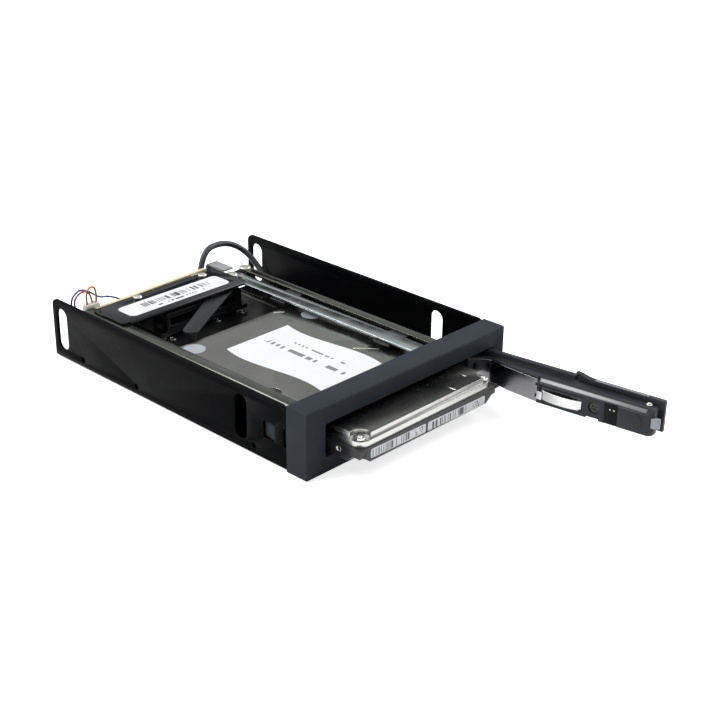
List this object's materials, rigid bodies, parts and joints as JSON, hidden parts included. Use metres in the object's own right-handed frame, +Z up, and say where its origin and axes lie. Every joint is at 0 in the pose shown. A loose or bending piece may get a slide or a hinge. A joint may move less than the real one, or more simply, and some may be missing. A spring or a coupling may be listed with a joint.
{
  "type": "hard drive mobile rack",
  "caption": "Bay frame with a hinged front door, latch, link bar and ejector lever that pushes a small disk drive out of its cage; leads and sockets at the rear.",
  "frame": {"origin": "middle of the underside of the bay frame", "axes": "+X across to the door's hinge side, +Y to the rear, +Z up"},
  "size_m": [0.1038, 0.2104, 0.0278],
  "materials": {
    "frame_coat": "black powder coat, fine satin",
    "bezel_plastic": "black moulded plastic, fine satin",
    "pin_steel": "ground steel",
    "cage_sheet": "dark zinc-plated sheet",
    "rail_plastic": "black nylon",
    "screw_black": "black oxide",
    "plate_coat": "black coat, glossier than the frame",
    "screw_nickel": "nickel plate",
    "label_paper": "plain white label",
    "board_fr4": "green board with pale edges",
    "bracket_grey": "grey plated sheet",
    "connector_black": "black connector plastic",
    "connector_white": "white nylon",
    "wire_red": "PVC insulation",
    "wire_blue": "PVC insulation",
    "wire_orange": "PVC insulation",
    "cable_black": "black sleeve",
    "door_plastic": "black moulded plastic",
    "band_steel": "polished sheet",
    "window_gloss": "black gloss",
    "lens_clear": "pale lens",
    "bolt_grey": "grey acetal",
    "link_steel": "bright zinc-plated strip",
    "lever_coat": "black coat",
    "drive_cast": "cast and clear-coated",
    "drive_lid": "polished pressed lid"
  },
  "bodies": {
    "rack": {"bay_frame": "frame_coat", "front_bezel": "bezel_plastic", "hinge_pin": "pin_steel", "drive_cage": "cage_sheet", "guide_rail_left": "rail_plastic", "guide_rail_right": "rail_plastic", "cage_standoffs": "pin_steel", "cage_screws": "screw_black", "rear_cross_plate": "plate_coat", "plate_screws": "screw_nickel", "rear_label": "label_paper", "backplane_board": "board_fr4", "board_clips": "screw_nickel", "board_bracket": "bracket_grey", "connector_board": "board_fr4", "board_posts": "pin_steel", "drive_receptacle": "connector_black", "rear_socket": "connector_black", "wire_connector": "connector_white", "wire_header": "connector_white", "wire_red": "wire_red", "wire_blue": "wire_blue", "wire_orange": "wire_orange", "sleeved_cable": "cable_black", "cable_root": "connector_black", "cable_plug": "connector_black", "lever_pivot": "screw_nickel", "link_guides": "pin_steel"},
    "door": {"door_shell": "door_plastic", "steel_band": "band_steel", "crank_hub": "rail_plastic", "leaf_spring": "band_steel", "light_window": "window_gloss", "light_pipes": "lens_clear", "lock_screw": "screw_black", "latch_pin": "pin_steel"},
    "latch_lever": {"latch_lever": "door_plastic"},
    "latch_bolt": {"latch_bolt": "bolt_grey"},
    "link": {"link_bar": "link_steel", "link_rivet": "screw_nickel"},
    "ejector": {"ejector_lever": "lever_coat"},
    "drive": {"drive_base": "drive_cast", "drive_board": "board_fr4", "drive_plug": "connector_black", "drive_cover": "drive_lid", "cover_screws": "screw_nickel", "cover_label": "label_paper", "front_labels": "label_paper"}
  },
  "joints": [
    {"name": "door_hinge", "type": "hinge", "parent": "rack", "child": "door", "pos_m": [0.0359, -0.0633, 0.0124], "axis": [0, 0, 1], "range_deg": [-98.1, 0]},
    {"name": "link_slide", "type": "slide", "parent": "rack", "child": "link", "axis": [0, 1, 0], "range_m": [0, 0.0031]},
    {"name": "ejector_pivot", "type": "hinge", "parent": "rack", "child": "ejector", "pos_m": [0.0306, 0.0503, 0.0178], "axis": [0, 0, 1], "range_deg": [-21.01, 0]},
    {"name": "drive_slide", "type": "slide", "parent": "rack", "child": "drive", "axis": [0, 1, 0], "range_m": [0, 0.0222]},
    {"name": "latch_lever_hinge", "type": "hinge", "parent": "door", "child": "latch_lever", "pos_m": [0.04856, -0.13483, 0.0114], "axis": [0, 0, 1], "range_deg": [-18, 0]},
    {"name": "latch_bolt_slide", "type": "slide", "parent": "door", "child": "latch_bolt", "axis": [0.1409, -0.99, 0], "range_m": [-0.0009, 0], "stiffness_N_per_m": 300}
  ],
  "couplings": [
    {"joint": "door_hinge", "follows": "drive_slide", "rad_per_m": -77.125},
    {"joint": "link_slide", "follows": "drive_slide", "ratio": 0.13964},
    {"joint": "ejector_pivot", "follows": "drive_slide", "rad_per_m": -16.51},
    {"joint": "latch_lever_hinge", "follows": "latch_bolt_slide", "rad_per_m": 349.07}
  ]
}
